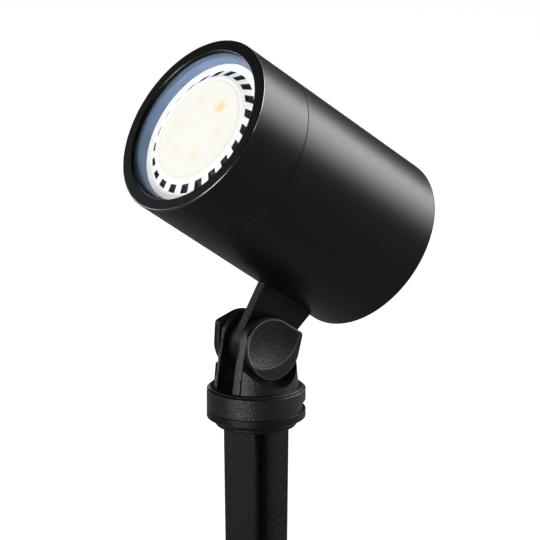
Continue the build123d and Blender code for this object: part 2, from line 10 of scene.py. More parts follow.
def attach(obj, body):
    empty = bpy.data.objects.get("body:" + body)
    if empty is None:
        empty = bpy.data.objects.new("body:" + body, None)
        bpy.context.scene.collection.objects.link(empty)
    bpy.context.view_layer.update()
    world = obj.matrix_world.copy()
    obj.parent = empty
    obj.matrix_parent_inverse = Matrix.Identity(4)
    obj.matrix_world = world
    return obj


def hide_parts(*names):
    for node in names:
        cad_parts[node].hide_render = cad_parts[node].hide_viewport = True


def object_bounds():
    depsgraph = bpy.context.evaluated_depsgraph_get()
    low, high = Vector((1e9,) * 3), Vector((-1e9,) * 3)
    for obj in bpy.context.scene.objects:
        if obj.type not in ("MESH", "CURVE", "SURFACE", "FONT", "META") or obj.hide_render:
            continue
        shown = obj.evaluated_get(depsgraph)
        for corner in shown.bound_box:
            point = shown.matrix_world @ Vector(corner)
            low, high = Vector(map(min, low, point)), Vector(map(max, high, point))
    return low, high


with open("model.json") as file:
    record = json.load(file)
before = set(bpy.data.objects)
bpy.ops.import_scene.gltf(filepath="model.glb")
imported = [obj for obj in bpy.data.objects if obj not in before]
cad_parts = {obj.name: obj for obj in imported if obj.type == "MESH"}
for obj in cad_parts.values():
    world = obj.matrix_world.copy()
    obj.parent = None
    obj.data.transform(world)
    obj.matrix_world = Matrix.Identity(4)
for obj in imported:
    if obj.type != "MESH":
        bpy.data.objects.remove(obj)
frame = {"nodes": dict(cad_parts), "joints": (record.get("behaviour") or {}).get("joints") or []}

bl_info = {
    "name": "Garden spotlight dressing",
    "version": (1, 0, 0),
    "blender": (4, 5, 0),
    "location": "3D View > Sidebar > Spotlight",
    "description": "Finished surfaces, materials and stage of a garden spotlight on a ground spike",
    "category": "Object",
}

CAD_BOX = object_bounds()
MM = 0.001

# Columns round an axis, and points on each rounded corner
COLUMNS = 240
ARC_STEPS = 6

# Axes of the head and the pivot, from the frame's joints
JOINTS = {joint["name"]: joint for joint in frame["joints"]}
FRONT = np.array(JOINTS["bezel_turn"]["pos_m"])
FORWARD = np.array(JOINTS["bezel_turn"]["axis"])
SIDE = np.array((1.0, 0.0, 0.0))
AWAY = np.cross(FORWARD, SIDE)
PIVOT = np.array(JOINTS["tilt"]["pos_m"])

# Front ring, barrel, lens and gasket
RING_CLEARANCE = 0.3 * MM
LIP_TAPER = 0.6 * MM
NECK_WALL = 2.2 * MM
NECK_ROOT = 2.4 * MM
BARREL_WALL = 2.4 * MM
REAR_WALL = 3.5 * MM
GLASS_EDGE = 0.3 * MM
GASKET_ROUND = 1.2 * MM
GASKET_EDGE = 0.3 * MM

# Lamp's diffuser and the light chips under it, as the frame has them
OPAL_STEP = 0.9 * MM
OPAL_STEP_DEPTH = 0.6 * MM
OPAL_EDGE = 0.2 * MM
# Share of painted shade in the faint ring line near the diffuser's edge
OPAL_SHADE_RING_SHARE = 0.7
CHIP_COUNT = 6
CHIP_CIRCLE = 10.5 * MM
CHIP_GLOW = 4.0 * MM
# Direction of the chip that shows most, the cosines where its share starts and is full, the others' share
BRIGHT_CHIP = radians(60.0)
BRIGHT_SPREAD = (0.7, 0.95)
DIM_CHIP = 0.35

# Lamp's vent slots
VENT_COUNT = 22
VENT_PHASE = radians(12.5)
VENT_HALF = radians(4.3)
VENT_SWIRL = radians(4.2)
VENT_BEVEL = 0.06

# Knobs: a round with a lug, a ball scoop in the top, and a groove as low, high and depth
KNOB_R = 10.2 * MM
KNOB_EDGE = 0.3 * MM
KNOB_ROWS = 90
LUG_R = 1.5 * MM
LUG_CENTRE = 10.5 * MM
SCOOP_R = 31.0 * MM
SCOOP_SHIFT = 7.6 * MM
SCOOP_BLEND = 0.3 * MM
NEAR_TURN = radians(-19.0)
NEAR_FLOOR = 0.5 * MM
FAR_TURN = radians(38.0)
FAR_FLOOR = 2.0 * MM
FAR_GROOVE = (1.7 * MM, 2.15 * MM, 0.5 * MM)
CREASE = radians(40.0)

# Vertex attribute that says where an edge is worn paler and where a highlight is painted along the knob's
# ridge, and how strongly
WEAR_AND_HIGHLIGHT = "wear_and_highlight"
WEAR_AND_HIGHLIGHT_WIDTH = 0.05 * MM
WEAR_AND_HIGHLIGHT_RIM = 0.975
WEAR_AND_HIGHLIGHT_PLAIN_EDGE = 0.3

# Solids that keep their own shape: material, darker and lighter tone, roughness, grain in mm, nodes
METALS = (
    ("stainless_steel", "#8B8D8F", "#A9ABAD", 0.28, 0.4,
     ("pivot_bolt", "lock_nut", "bracket_screws", "swivel_screw", "swivel_washer", "strap_screws",
      "holder_strap")),
    ("drawn_brass", "#A98B45", "#C2A45C", 0.3, 0.5, ("lamp_pins", "holder_contacts")),
    ("white_coated_aluminium", "#C9CAC8", "#DADBD9", 0.4, 0.7, ("lamp_heatsink",)),
)
PLAIN_BODIES = (
    ("nitrile_rubber", "#0F1011", "#17181A", 0.6, 0.5, ("seal_ring", "gland_seal")),
    ("white_solder_mask", "#E4E6E4", "#F1F2F0", 0.35, 0.8, ("led_board", "lamp_driver")),
    ("yellow_phosphor", "#E8B93A", "#F3CD5C", 0.4, 0.3, ("led_chips",)),
    ("steatite_ceramic", "#DFDACB", "#EBE7DA", 0.55, 0.5, ("lamp_holder",)),
    ("glass_fibre_sleeving", "#CFCBBE", "#DDD9CD", 0.6, 0.4, ("lead_wires",)),
    ("moulded_polyamide", "#CACAC4", "#D8D8D3", 0.45, 0.6, ("terminal_block",)),
)

# Floor, surroundings and lamps
FLOOR_REACH = 8.0
FLOOR_GLOW = 0.97
GLOSSY_SHARE = 0.05
WORLD_GREY = "#8C8E90"
WORLD_STRENGTH = 0.07
LIGHT_TARGET = np.array((0.0, 0.0, 0.06))
# Name, direction from the object, distance, width and height in metres, radiance
SOFTBOXES = (
    ("right_softbox", (0.26, 0.88, 0.39), 1.1, 0.94, 0.42, 11.2),
    ("rear_softbox", (-0.45, 0.75, 0.55), 1.2, 0.6, 0.5, 0.8),
    ("left_softbox", (-0.8, -0.52, 0.2), 1.2, 0.5, 0.3, 4.8),
    ("front_strip", (0.3, -0.95, -0.05), 1.2, 0.75, 0.4, 10.0),
    ("edge_softbox", (0.86, 0.38, 0.3), 1.2, 0.25, 0.25, 8.0),
    ("far_strip", (-0.95, 0.26, -0.06), 1.2, 0.3, 0.3, 8.0),
)

# Camera that took the photograph, fitted to the object's edges in its 540 pixel frame
CAMERA_TURN = radians(53.58)
CAMERA_RISE = radians(14.01)
CAMERA_DISTANCE = 0.99975
CAMERA_TARGET = (0.0, 0.0, 0.03065)
CAMERA_ASIDE = 0.004635
CAMERA_UP = 0.02166
LENS_MM = 200.0
SENSOR_MM = 36.0

Extent = namedtuple("Extent", "front back inner outer")


def linear(code):
    """An sRGB hex colour as linear red, green, blue and alpha."""
    raw = np.array([int(code[i:i + 2], 16) for i in (1, 3, 5)]) / 255
    values = np.where(raw <= 0.04045, raw / 12.92, ((raw + 0.055) / 1.055) ** 2.4)
    return (*values.tolist(), 1.0)


def colour(name, description, code):
    """A colour property whose default is an sRGB hex value."""
    return bpy.props.FloatVectorProperty(name=name, description=description, subtype="COLOR", size=4,
                                         min=0.0, max=1.0, default=linear(code))


def length(name, description, millimetres):
    """A length property whose default is given in millimetres."""
    return bpy.props.FloatProperty(name=name, description=description, default=millimetres * MM,
                                   min=0.0, subtype="DISTANCE", unit="LENGTH")


def node_points(node):
    """All vertices of a solid of the frame, as an array."""
    mesh = frame["nodes"][node].data
    flat = np.empty(3 * len(mesh.vertices), np.float32)
    mesh.vertices.foreach_get("co", flat)
    return flat.reshape(-1, 3).astype(float)


def head_extent(node):
    """A head piece's front and back depth behind the front face, and its inner and outer radius."""
    offset = node_points(node) - FRONT
    depth = -offset @ FORWARD
    radius = np.linalg.norm(offset + depth[:, None] * FORWARD, axis=1)
    return Extent(depth.min(), depth.max(), radius.min(), radius.max())


def square_to(step):
    """The unit normal on the outward side of a step along a counter-clockwise outline."""
    return np.array((step[1], -step[0])) / np.hypot(*step)


def rounded_outline(corners, radii, closed=True):
    """Outline with tangent arcs for corners, and the normals that each arc has from its centre.

    Each arc runs from one tangent point to the next by turning the radius evenly, and the straight sides
    lie between the arcs. An open outline keeps its end points square and has radii for the others alone.
    """
    point = np.array(corners, float)
    radius = np.array(radii if closed else [radii[0], *radii, radii[-1]], float)[:, None]
    before = np.roll(point, 1, axis=0) - point
    after = np.roll(point, -1, axis=0) - point
    before /= np.linalg.norm(before, axis=1, keepdims=True)
    after /= np.linalg.norm(after, axis=1, keepdims=True)
    half = np.arccos(np.clip((before * after).sum(1, keepdims=True), -1, 1)) / 2
    middle = before + after
    middle /= np.linalg.norm(middle, axis=1, keepdims=True)
    centre = point + middle * radius / np.sin(half)
    start = point + before * radius / np.tan(half) - centre
    stop = point + after * radius / np.tan(half) - centre
    turn = pi - 2 * half
    share = np.linspace(0, 1, ARC_STEPS)[None, :, None]
    spokes = (np.sin((1 - share) * turn[:, None]) * start[:, None]
              + np.sin(share * turn[:, None]) * stop[:, None]) / np.sin(turn)[:, None]
    cross = before[:, :1] * after[:, 1:] - before[:, 1:] * after[:, :1]
    normals = -spokes / radius[:, None] * np.sign(cross)[:, None]
    points = centre[:, None] + spokes
    if closed:
        return points.reshape(-1, 2), normals.reshape(-1, 2)
    first = square_to(point[1] - point[0])
    last = square_to(point[-1] - point[-2])
    points = np.vstack([point[0], points[1:-1].reshape(-1, 2), point[-1]])
    normals = np.vstack([first, normals[1:-1].reshape(-1, 2), last])
    return points, normals


def quads(upper, lower):
    """Four-cornered faces between rows of vertex numbers and the next rows, joined up round the axis."""
    corners = [upper, lower, np.roll(lower, -1, 1), np.roll(upper, -1, 1)]
    return np.stack(corners, -1).reshape(-1, 4).tolist()


def poled(grid):
    """A grid's values in one list, with the first and the last row drawn together to one point each."""
    return np.concatenate([grid[0, :1], grid[1:-1].reshape(-1, *grid.shape[2:]), grid[-1, :1]])


def skin(name, grid, normals=None, closed=True):
    """Mesh over a grid of rows round an axis: closed rows join up, open ones end in a pole at each end."""
    rows, columns = grid.shape[:2]
    index = np.arange(rows * columns).reshape(rows, columns)
    if closed:
        points = grid.reshape(-1, 3)
        faces = quads(index, np.roll(index, -1, axis=0))
    else:
        points = poled(grid)
        ring = index[:rows - 2] + 1
        first = ring[0]
        last = ring[-1]
        faces = quads(ring[:-1], ring[1:])
        faces += np.stack([np.zeros_like(first), first, np.roll(first, -1)], -1).tolist()
        faces += np.stack([last, np.full_like(last, len(points) - 1), np.roll(last, -1)], -1).tolist()
        if normals is not None:
            normals = poled(normals)
    mesh = bpy.data.meshes.new(name)
    mesh.from_pydata(points.tolist(), [], faces)
    mesh.polygons.foreach_set("use_smooth", np.ones(len(mesh.polygons), bool))
    if normals is not None:
        mesh.normals_split_custom_set_from_vertices(normals.reshape(-1, 3))
    mesh.update()
    piece = bpy.data.objects.new(name, mesh)
    bpy.context.scene.collection.objects.link(piece)
    return piece


def turned(name, outline, normals, closed=True):
    """Surface of revolution about the head's axis: each (radius, depth) point of the outline goes round it.

    A point lies at the front face's centre, less its depth along the head's direction, plus its radius times
    the cosine of the angle sideways and the sine of the angle away from the pivot.
    """
    angle = np.linspace(0, 2 * pi, COLUMNS, endpoint=False)
    spoke = np.cos(angle)[:, None] * SIDE + np.sin(angle)[:, None] * AWAY
    grid = FRONT - outline[:, None, 1:] * FORWARD + outline[:, None, :1] * spoke
    slope = normals[:, None, :1] * spoke - normals[:, None, 1:] * FORWARD
    return skin(name, grid, slope, closed)


def vented_rim(sizes):
    """Lamp's white rim as a grid of radius and angle, with slanted slots sunk into its sloping vent band.

    The band is a cone: depth rises evenly with radius from the diffuser's edge to the rim. Columns run at
    fixed shares from one slot's middle to the next: up to 1 they lie in the slot, past 1 they fill the
    bridge between slots. Each row is turned back by the swirl angle times its share of the slot's length.
    """
    lamp = head_extent("lamp_front_ring")
    rim_front = lamp.front + sizes.vent_rise - sizes.vent_recess
    rim_r = lamp.outer - sizes.rim_width
    slot_in = lamp.inner + sizes.vent_inset
    slot_out = rim_r - sizes.vent_margin
    soft = sizes.rim_round
    radius = np.array([lamp.inner, lamp.inner, slot_in - soft, slot_in, slot_in,
                       slot_out, slot_out, slot_out + soft, rim_r,
                       rim_r, rim_r + soft, lamp.outer - soft, lamp.outer, lamp.outer])
    band = lamp.front + sizes.vent_rise * (radius - lamp.inner) / (rim_r - lamp.inner)
    rim = [rim_front + soft, rim_front, rim_front, rim_front + soft, lamp.back]
    depth = np.concatenate([[lamp.back], band[1:9], rim])
    sunk = np.array([0, 0, 0, 0, 1, 1, 0, 0, 0, 0, 0, 0, 0, 0])
    share = np.array([-1 - VENT_BEVEL, -1, -1, -0.5, 0, 0.5, 1, 1, 1 + VENT_BEVEL, 1.33, 1.67])
    floor = np.array([0, 0, 1, 1, 1, 1, 1, 0, 0, 0, 0])
    half_step = pi / VENT_COUNT
    bridge = np.sign(share) * np.clip(np.abs(share) - 1, 0, None) * (half_step - VENT_HALF)
    local = np.clip(share, -1, 1) * VENT_HALF + bridge
    start = VENT_PHASE + 2 * half_step * np.arange(VENT_COUNT)
    trail = VENT_SWIRL * np.clip((radius - slot_in) / (slot_out - slot_in), 0, 1)
    angle = (local[None, :] + start[:, None]).reshape(1, -1) - trail[:, None]
    deep = np.tile(floor, VENT_COUNT)[None, :] * sunk[:, None]
    spoke = np.cos(angle)[..., None] * SIDE + np.sin(angle)[..., None] * AWAY
    reach = depth[:, None] + deep * sizes.vent_depth
    piece = skin("lamp_rim", FRONT - reach[..., None] * FORWARD + radius[:, None, None] * spoke)
    # Slot floors and the walls round them take the second material, which is painted shade
    inside = deep.astype(bool)
    painted_shade_faces = inside | np.roll(inside, -1, 0) | np.roll(inside, -1, 1) | np.roll(inside, (-1, -1), (0, 1))
    piece.data.polygons.foreach_set("material_index", painted_shade_faces.reshape(-1).astype(np.int32))
    piece.data.polygons.foreach_set("use_smooth", np.zeros(painted_shade_faces.size, bool))
    return piece


def lugged_outline(angle):
    """Radius of a knob at each angle from its lug: the lug's arc, a flat that touches both, then a circle.

    On the flat the radius is the knob's radius over the cosine of the angle to the flat's own normal.
    """
    away = np.abs(np.angle(np.exp(1j * angle)))
    normal = np.arccos((KNOB_R - LUG_R) / LUG_CENTRE)
    touch = np.arctan2(LUG_R * np.sin(normal), LUG_CENTRE + LUG_R * np.cos(normal))
    chord = np.clip(LUG_R ** 2 - (LUG_CENTRE * np.sin(away)) ** 2, 0, None)
    tip = LUG_CENTRE * np.cos(away) + np.sqrt(chord)
    flat = KNOB_R / np.cos(np.clip(away - normal, -normal, 0))
    return np.where(away < touch, tip, flat)


def thumb_knob(name, node, outward, turn, floor, groove=None):
    """Knob with a flat foot, a soft-edged side, and a top that is the lower of a flat and a hollow.

    The hollow is a ball's: its height is the floor plus the ball's radius less the root of the squared
    radius minus the squared distance from the scoop's middle. Flat and hollow blend as half of their sum
    less the root of their squared difference plus the squared blend width. Rows of the top are shares of
    the outline's radius. The paler mark, partly wear and partly a painted highlight, falls off from the
    ridge as a bell curve of the height between the two.
    """
    along = np.abs(node_points(node)[:, 0])
    height = along.max() - along.min()
    out = np.array((outward, 0.0, 0.0))
    up = np.array((0.0, sin(turn), cos(turn)))
    angle = np.linspace(0, 2 * pi, COLUMNS, endpoint=False)
    spoke = np.cos(angle)[:, None] * np.cross(up, out) + np.sin(angle)[:, None] * up
    reach = lugged_outline(angle)

    top_r = np.linspace(1, 0, KNOB_ROWS)[:, None] * (reach - KNOB_EDGE)
    apart = (top_r * np.cos(angle)) ** 2 + (top_r * np.sin(angle) - SCOOP_SHIFT) ** 2
    hollow = floor + SCOOP_R - np.sqrt(SCOOP_R ** 2 - apart)
    top_h = (height + hollow - np.sqrt((height - hollow) ** 2 + SCOOP_BLEND ** 2)) / 2
    quarter = np.linspace(0, pi / 2, ARC_STEPS)[:, None]
    foot_r = reach - KNOB_EDGE * (1 - np.sin(quarter))
    foot_h = KNOB_EDGE * (1 - np.cos(quarter)) + 0 * reach
    edge_r = reach - KNOB_EDGE * (1 - np.cos(quarter))
    edge_h = top_h[0] - KNOB_EDGE * (1 - np.sin(quarter))
    radii = [0 * foot_r[:1], foot_r]
    heights = [0 * foot_h[:1], foot_h]
    if groove:
        low, high, depth = groove
        inset = np.array((0, depth, depth, 0))[:, None]
        radii.append(reach - inset)
        heights.append(np.minimum(np.array((low, low, high, high))[:, None], edge_h[0]))
    rows_r = np.concatenate([*radii, edge_r, top_r[1:]])[..., None]
    rows_h = np.concatenate([*heights, edge_h, top_h[1:]])[..., None]
    seat = PIVOT + along.min() * out
    piece = skin(name, (seat + rows_r * spoke + rows_h * out)[::-1], closed=False)
    piece.data.set_sharp_from_angle(angle=CREASE)

    # Along the ridge the mark is partly wear, partly a painted highlight line; on the outer edge it grows
    # towards the top
    ridge = np.exp(-((height - hollow) / WEAR_AND_HIGHLIGHT_WIDTH) ** 2)
    edge = np.where(hollow[0] < height, 1.0, WEAR_AND_HIGHLIGHT_PLAIN_EDGE) * np.sin(quarter)
    top = np.maximum(ridge, edge[-1] * (top_r > WEAR_AND_HIGHLIGHT_RIM * top_r[0]))
    unmarked = [np.zeros_like(row) for row in heights]
    wear_and_highlight = np.concatenate([*unmarked, edge, top[1:]])[::-1]
    marks = piece.data.attributes.new(WEAR_AND_HIGHLIGHT, "FLOAT", "POINT")
    marks.data.foreach_set("value", poled(wear_and_highlight).astype(np.float32))
    return piece


def dress(piece, body, slot, material, *nodes):
    """Gives a piece its finish, the body that it moves with and the solids that it stands for."""
    piece.data.materials.append(material)
    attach(piece, body)
    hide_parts(*nodes)
    return piece


def coat(material, *nodes):
    """Gives solids that keep their own shape a finish."""
    for node in nodes:
        slots = frame["nodes"][node].data.materials
        slots.clear()
        slots.append(material)


def add(tree, kind, inputs=None, **settings):
    """Adds a shader node with its settings, and gives each input a value or a link."""
    made = tree.nodes.new(kind)
    for key, value in settings.items():
        setattr(made, key, value)
    for key, value in (inputs or {}).items():
        if isinstance(value, bpy.types.NodeSocket):
            tree.links.new(value, made.inputs[key])
        else:
            made.inputs[key].default_value = value
    return made


def calc(tree, operation, *values, clamp=False):
    """Result of one sum on numbers or links."""
    made = add(tree, "ShaderNodeMath", dict(enumerate(values)), operation=operation, use_clamp=clamp)
    return made.outputs[0]


def vector(tree, operation, *values):
    """Outputs of one vector sum on vectors or links: Vector and Value."""
    return add(tree, "ShaderNodeVectorMath", dict(enumerate(values)), operation=operation).outputs


def smooth(tree, value, low, high, at_low, at_high):
    """Soft step of a value from one level at its low limit to another at its high limit."""
    limits = {"Value": value, "From Min": low, "From Max": high, "To Min": at_low, "To Max": at_high}
    return add(tree, "ShaderNodeMapRange", limits, interpolation_type="SMOOTHSTEP").outputs[0]


def blend(tree, share, first, second):
    """Colour that goes from one tone to another with a share; inputs 6 and 7 are the node's two colours."""
    return add(tree, "ShaderNodeMix", {0: share, 6: first, 7: second}, data_type="RGBA").outputs[2]


def finish(name, **sockets):
    """A new material with one shader, its constants set on the shader's own sockets."""
    material = bpy.data.materials.new(name)
    material.use_nodes = True
    tree = material.node_tree
    tree.nodes.clear()
    constants = {key.replace("_", " "): value for key, value in sockets.items()}
    shader = add(tree, "ShaderNodeBsdfPrincipled", constants)
    add(tree, "ShaderNodeOutputMaterial", {"Surface": shader.outputs[0]}, name="Output")
    place = add(tree, "ShaderNodeTexCoord").outputs["Object"]
    return material, tree, shader, place


def grain(tree, place, millimetres, detail=3.0):
    """Noise whose blotches are about the given size in millimetres."""
    inputs = {"Vector": place, "Scale": 1 / (millimetres * MM), "Detail": detail, "Roughness": 0.55}
    return add(tree, "ShaderNodeTexNoise", inputs).outputs[0]


def relieve(tree, shader, height, depth_mm, strength, smoothest, roughest):
    """Bump and uneven roughness of one shader from the same height pattern."""
    bump = add(tree, "ShaderNodeBump", {"Height": height, "Strength": strength, "Distance": depth_mm * MM})
    uneven = add(tree, "ShaderNodeMapRange", {"Value": height, "To Min": smoothest, "To Max": roughest})
    tree.links.new(bump.outputs[0], shader.inputs["Normal"])
    tree.links.new(uneven.outputs[0], shader.inputs["Roughness"])


def mottle(tree, shader, pattern, dark, light):
    """Base colour that drifts between two tones with a pattern."""
    tree.links.new(blend(tree, pattern, dark, light), shader.inputs["Base Color"])


def powder_coat(name="powder_coated_aluminium", gloss=0.33, rough=0.34, index=1.45):
    """Powder-coated aluminium: baked polyester gives a satin black with a faint orange peel."""
    colours = bpy.context.scene.spotlight_colours
    material, tree, shader, place = finish(name, IOR=index, Specular_IOR_Level=gloss)
    # Real orange peel is finer, and is drawn this coarse so that it shows
    peel = grain(tree, place, 0.9)
    relieve(tree, shader, peel, depth_mm=0.05, strength=0.15, smoothest=rough, roughest=rough + 0.08)
    mottle(tree, shader, grain(tree, place, 14.0), colours.coat_dark, colours.coat_light)
    return material


def grained_nylon(name="moulded_glass_filled_nylon", gloss=0.5, relief=0.8):
    """Glass-filled nylon from a spark-eroded mould: dull black with a sandy grain, paler where worn, and
    with a highlight painted along the knobs' ridges.
    """
    colours = bpy.context.scene.spotlight_colours
    material, tree, shader, place = finish(name, IOR=1.5, Specular_IOR_Level=gloss)
    # Real spark grain is finer, and is drawn this coarse so that it shows
    sand = grain(tree, place, 0.7, 2.0)
    relieve(tree, shader, sand, depth_mm=0.25, strength=relief, smoothest=0.36, roughest=0.5)
    # Paler where worn, and a painted highlight along the knobs' ridges, read from the knobs' vertex
    # attribute
    wear_and_highlight = add(tree, "ShaderNodeAttribute", attribute_name=WEAR_AND_HIGHLIGHT).outputs["Fac"]
    plain = blend(tree, sand, colours.nylon_dark, colours.nylon_light)
    mottle(tree, shader, wear_and_highlight, plain, colours.nylon_worn_and_highlit)
    return material


def cast_coat():
    """Powder coat over a rough casting: a duller, more even black than on the turned barrel."""
    colours = bpy.context.scene.spotlight_colours
    material, tree, shader, place = finish("powder_coated_casting", IOR=1.45, Specular_IOR_Level=0.4)
    pitted = grain(tree, place, 0.8)
    relieve(tree, shader, pitted, depth_mm=0.08, strength=0.3, smoothest=0.45, roughest=0.55)
    mottle(tree, shader, grain(tree, place, 5.0), colours.coat_dark, colours.coat_light)
    return material


def clear_glass():
    """Toughened float glass: clear and flat, seen by its reflections."""
    material, tree, shader, place = finish("toughened_clear_glass", IOR=1.5, Roughness=0.0,
                                           Transmission_Weight=1.0)
    ripple = {"Height": grain(tree, place, 20.0, 1.0), "Strength": 0.02, "Distance": 0.02 * MM}
    wave = add(tree, "ShaderNodeBump", ripple)
    tree.links.new(wave.outputs[0], shader.inputs["Normal"])
    # Lamps shine straight through such a thin pane
    shadow = add(tree, "ShaderNodeLightPath").outputs["Is Shadow Ray"]
    clear = add(tree, "ShaderNodeBsdfTransparent").outputs[0]
    pane = add(tree, "ShaderNodeMixShader", {0: shadow, 1: shader.outputs[0], 2: clear})
    tree.links.new(pane.outputs[0], tree.nodes["Output"].inputs["Surface"])
    return material


def silicone():
    """Moulded silicone rubber: a cloudy blue-grey with a soft, even gloss."""
    colours = bpy.context.scene.spotlight_colours
    material, tree, shader, place = finish("translucent_silicone_rubber", IOR=1.41)
    relieve(tree, shader, grain(tree, place, 0.8), depth_mm=0.03, strength=0.1, smoothest=0.38, roughest=0.5)
    mottle(tree, shader, grain(tree, place, 9.0), colours.silicone_dark, colours.silicone_light)
    return material


def white_plastic():
    """Moulded white polycarbonate: clean, slightly glossy, with a faint painted glow that stands in for the
    lamp's own light on it.
    """
    colours = bpy.context.scene.spotlight_colours
    # Painted glow: the plastic emits a little light in its own white, though it is no lamp
    material, tree, shader, place = finish("white_polycarbonate_with_painted_glow", IOR=1.58, Emission_Strength=0.62,
                                           Emission_Color=colours.lamp_white)
    relieve(tree, shader, grain(tree, place, 1.2), depth_mm=0.02, strength=0.1, smoothest=0.3, roughest=0.4)
    mottle(tree, shader, grain(tree, place, 8.0), colours.lamp_white, colours.lamp_white_dim)
    return material


def vent_shadow():
    """Inside of the lamp's vent slots: painted shade, a dark grey that stands in for the shade in the slots.
    """
    colours = bpy.context.scene.spotlight_colours
    material, tree, shader, place = finish("vent_painted_shade")
    relieve(tree, shader, grain(tree, place, 0.6), depth_mm=0.02, strength=0.1, smoothest=0.55, roughest=0.7)
    # Two tones of painted shade that drift at random
    mottle(tree, shader, grain(tree, place, 3.0), colours.vent_shade_dark, colours.vent_shade_light)
    return material


def lit_opal():
    """Opal diffuser, lit: an even warm white with warmer spots over the light chips and a faint ring of
    painted shade near its edge.

    A spot is the cosine of the angle times the number of chips, times a soft step of the distance from the
    chips' circle. The ring is painted shade of a shallow groove, a soft step of the distance from its own
    circle.
    """
    colours = bpy.context.scene.spotlight_colours
    sizes = bpy.context.scene.spotlight_sizes
    material, tree, shader, place = finish("lit_opal_acrylic", IOR=1.49, Roughness=0.4,
                                           Base_Color=colours.opal_skin, Emission_Strength=1.2)
    offset = vector(tree, "SUBTRACT", place, FRONT)["Vector"]
    aside = vector(tree, "DOT_PRODUCT", offset, SIDE)["Value"]
    upward = vector(tree, "DOT_PRODUCT", offset, AWAY)["Value"]
    angle = calc(tree, "ARCTAN2", upward, aside)
    cross = vector(tree, "CROSS_PRODUCT", offset, FORWARD)["Vector"]
    radius = vector(tree, "LENGTH", cross)["Value"]

    petal = calc(tree, "COSINE", calc(tree, "MULTIPLY", angle, float(CHIP_COUNT)))
    apart = calc(tree, "ABSOLUTE", calc(tree, "SUBTRACT", radius, CHIP_CIRCLE))
    near = smooth(tree, apart, 0.0, CHIP_GLOW, 1.0, 0.0)
    spot = calc(tree, "MULTIPLY", near, petal, clamp=True)
    # One chip shows through more than the others
    facing = calc(tree, "COSINE", calc(tree, "SUBTRACT", angle, BRIGHT_CHIP))
    share = smooth(tree, facing, *BRIGHT_SPREAD, DIM_CHIP, 1.0)
    glow = blend(tree, calc(tree, "MULTIPLY", spot, share), colours.opal, colours.opal_warm)

    # Painted shade: a darker line in the glow where a shallow groove in the opal would shade
    edge = calc(tree, "ABSOLUTE", calc(tree, "SUBTRACT", radius, sizes.opal_shade_ring))
    line = smooth(tree, edge, 0.0, sizes.opal_line, OPAL_SHADE_RING_SHARE, 0.0)
    tree.links.new(blend(tree, line, glow, colours.opal_shade_ring), shader.inputs["Emission Color"])
    return material


def bare_metal(name, dark, light, rough, grain_mm):
    """A bare machined or rolled metal: full metallic, with fine tool marks in its gloss."""
    material, tree, shader, place = finish(name, Metallic=1.0)
    marks = grain(tree, place, grain_mm)
    relieve(tree, shader, marks, depth_mm=0.02, strength=0.15, smoothest=rough, roughest=rough + 0.12)
    mottle(tree, shader, grain(tree, place, 5.0), linear(dark), linear(light))
    return material


def plain_body(name, dark, light, rough, grain_mm):
    """A moulded or fired body with one colour and a light surface grain."""
    material, tree, shader, place = finish(name)
    marks = grain(tree, place, grain_mm)
    relieve(tree, shader, marks, depth_mm=0.03, strength=0.15, smoothest=rough, roughest=rough + 0.1)
    mottle(tree, shader, grain(tree, place, 5.0), linear(dark), linear(light))
    return material


def make_floor():
    """A wide flat sheet under the stake's point, with a glow that is white to the camera and through glass.

    Glossy rays see a small share of the glow, so that the black finishes stay dark.
    """
    low = CAD_BOX[0][2]
    reach = np.linspace(-FLOOR_REACH, FLOOR_REACH, 3)
    x, y = np.meshgrid(reach, reach, indexing="ij")
    points = np.stack([x, y, np.full_like(x, low)], -1).reshape(-1, 3)
    index = np.arange(x.size).reshape(x.shape)
    faces = np.stack([index[:-1, :-1], index[1:, :-1], index[1:, 1:], index[:-1, 1:]], -1).reshape(-1, 4)
    mesh = bpy.data.meshes.new("floor")
    mesh.from_pydata(points.tolist(), [], faces.tolist())
    floor = bpy.data.objects.new("floor", mesh)
    bpy.context.scene.collection.objects.link(floor)
    material, tree, shader, _ = finish("pale_studio_floor", Roughness=0.9, Specular_IOR_Level=0.0,
                                       Base_Color=bpy.context.scene.spotlight_colours.floor,
                                       Emission_Color=(1.0, 1.0, 1.0, 1.0))
    path = add(tree, "ShaderNodeLightPath").outputs
    clear = calc(tree, "MAXIMUM", path["Is Camera Ray"], path["Is Transmission Ray"])
    seen = calc(tree, "MULTIPLY_ADD", path["Is Glossy Ray"], GLOSSY_SHARE, clear, clamp=True)
    tree.links.new(calc(tree, "MULTIPLY", seen, FLOOR_GLOW), shader.inputs["Emission Strength"])
    mesh.materials.append(material)


def make_world(scene):
    """Dim even studio surroundings."""
    world = bpy.data.worlds.new("studio")
    world.use_nodes = True
    shade = world.node_tree.nodes["Background"]
    shade.inputs["Color"].default_value = linear(WORLD_GREY)
    shade.inputs["Strength"].default_value = WORLD_STRENGTH
    scene.world = world


def soft_box(name, aim, reach, width, height, radiance):
    """A rectangular lamp that faces the object; its power is pi times its area times its radiance."""
    lamp = bpy.data.lights.new(name, "AREA")
    lamp.shape = "RECTANGLE"
    lamp.size = width
    lamp.size_y = height
    lamp.energy = pi * width * height * radiance
    box = bpy.data.objects.new(name, lamp)
    aim = np.array(aim) / np.linalg.norm(aim)
    box.location = LIGHT_TARGET + aim * reach
    box.rotation_euler = Vector(aim).to_track_quat("Z", "Y").to_euler()
    bpy.context.scene.collection.objects.link(box)


